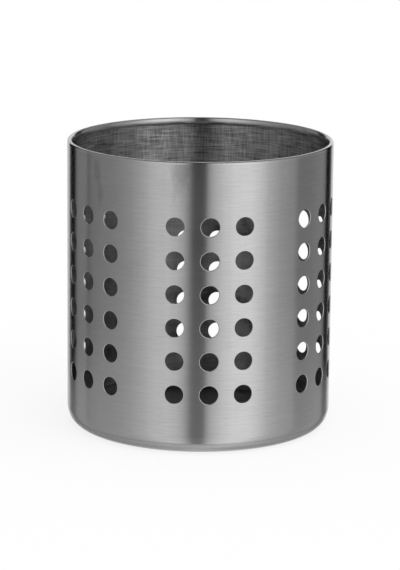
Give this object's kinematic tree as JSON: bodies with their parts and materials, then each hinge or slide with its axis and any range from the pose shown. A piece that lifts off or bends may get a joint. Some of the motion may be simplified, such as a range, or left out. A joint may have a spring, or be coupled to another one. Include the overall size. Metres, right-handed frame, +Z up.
{
  "type": "cutlery holder",
  "caption": "Round open-topped cup of brushed steel with a perforated wall, a curled mouth and a drained base, for standing cutlery and kitchen utensils in.",
  "frame": {"origin": "middle of the underside, in the plane that the holder stands on", "axes": "+Z up through the open mouth, -Y towards the middle of the front group of holes, seam weld upright in the narrower plain strip on the left, at -X"},
  "size_m": [0.12, 0.12, 0.131],
  "materials": {
    "brushed_wall_steel": "brushed round the tube, satin",
    "pressed_pan_steel": "fine ground, satin",
    "dressed_weld_steel": "weld bead dressed flush and brushed over"
  },
  "bodies": {
    "root": {"perforated_wall": "brushed_wall_steel", "seam_weld": "dressed_weld_steel", "base_pan": "pressed_pan_steel", "base_weld": "dressed_weld_steel"}
  },
  "joints": []
}
